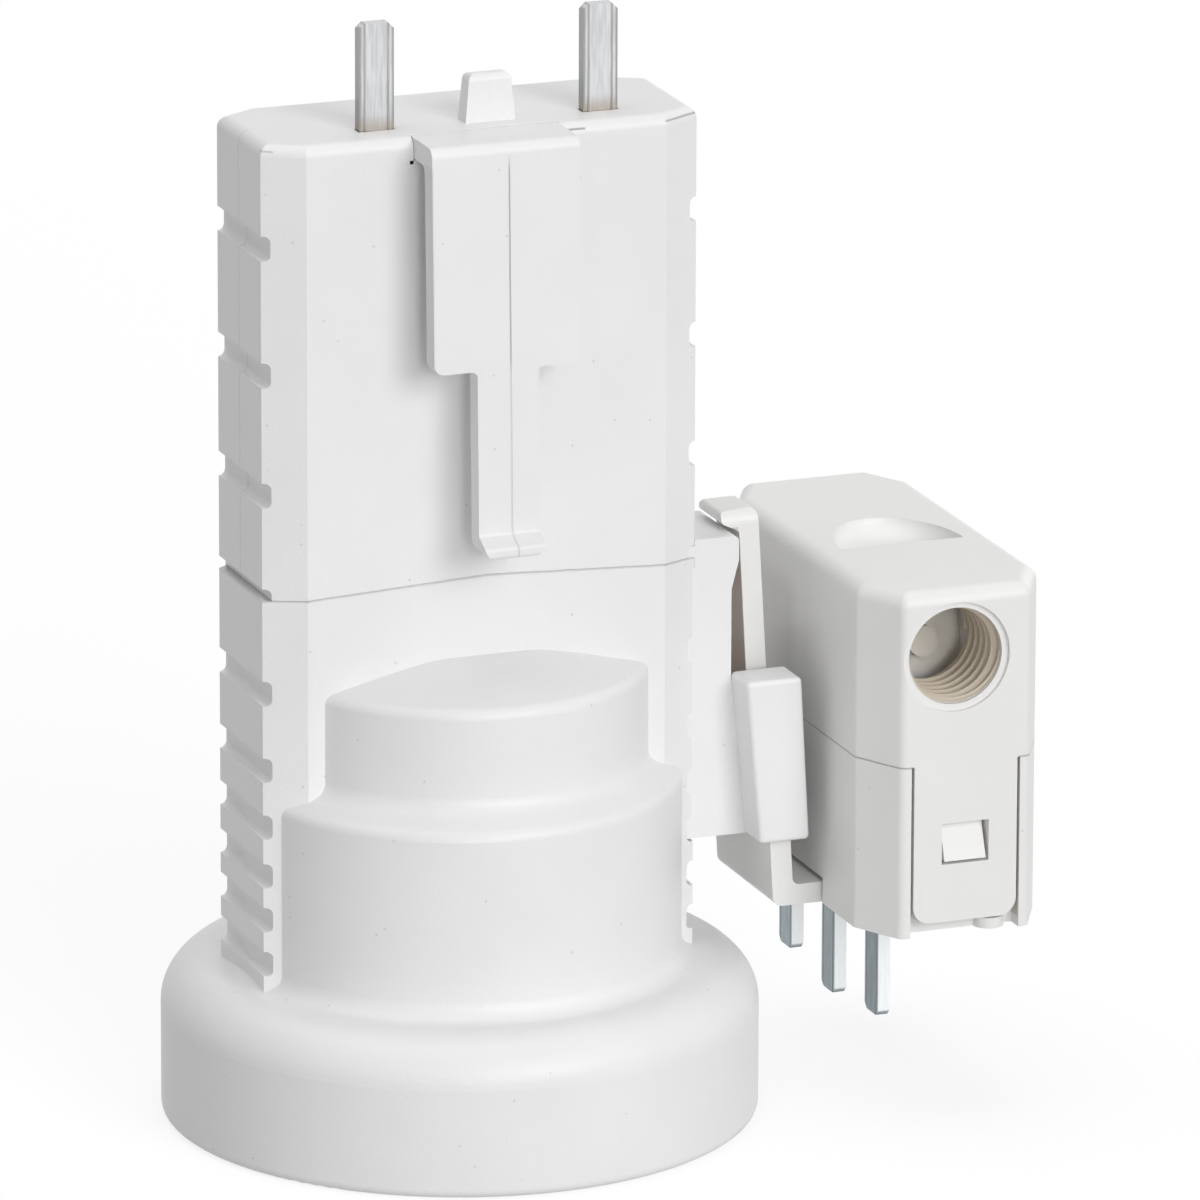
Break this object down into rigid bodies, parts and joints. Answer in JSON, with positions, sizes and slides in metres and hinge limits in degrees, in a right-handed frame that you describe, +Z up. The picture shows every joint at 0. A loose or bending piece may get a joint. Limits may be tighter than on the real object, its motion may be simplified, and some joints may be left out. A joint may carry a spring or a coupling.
{
  "type": "lamp holder",
  "caption": "Screw lamp holder with a plug-in ceiling head, spring latch levers and a stored luminaire plug on its side.",
  "frame": {"origin": "centre of the foot ring's lower face, the mouth of the lamp bore", "axes": "+Z up along the lamp's axis to the ceiling blades, +X to the stored plug, -Y to the front latch lever"},
  "size_m": [0.0707, 0.05, 0.0946],
  "materials": {
    "white_plastic": "satin moulded white",
    "ivory_plastic": "satin moulded warm white",
    "insulator": "matt pressed",
    "plated_blade": "plated, drawn",
    "brass": "stamped",
    "steel": "zinc plated"
  },
  "bodies": {
    "root": {"lower_housing": "white_plastic", "head_front_shell": "white_plastic", "head_rear_shell": "white_plastic", "head_blade_left": "plated_blade", "head_blade_right": "plated_blade", "screw_shell": "brass", "contact_carrier": "insulator", "contact_foot": "brass", "line_busbar": "brass", "neutral_busbar": "brass", "carrier_rivets": "steel", "plug_cover": "ivory_plastic", "plug_base": "ivory_plastic", "plug_blade_line": "plated_blade", "plug_blade_earth": "plated_blade", "plug_blade_neutral": "plated_blade", "terminal_line": "brass", "terminal_earth": "brass", "terminal_neutral": "brass", "terminal_screws": "steel"},
    "front_lever": {"front_lever": "white_plastic"},
    "plug_lever": {"plug_lever": "ivory_plastic"},
    "centre_contact": {"centre_contact": "brass"}
  },
  "joints": [
    {"name": "front_lever_flex", "type": "hinge", "parent": "root", "child": "front_lever", "pos_m": [0, -0.0056, 0.0847], "axis": [1, 0, 0], "range_deg": [0, 5], "stiffness_Nm_per_rad": 0.5},
    {"name": "plug_lever_flex", "type": "hinge", "parent": "root", "child": "plug_lever", "pos_m": [0.0306, -0.0007, 0.01745], "axis": [0, 1, 0], "range_deg": [0, 2], "stiffness_Nm_per_rad": 0.5},
    {"name": "centre_contact_flex", "type": "hinge", "parent": "root", "child": "centre_contact", "pos_m": [-0.0024, 0, 0.0352], "axis": [0, -1, 0], "range_deg": [0, 10], "stiffness_Nm_per_rad": 0.18}
  ]
}
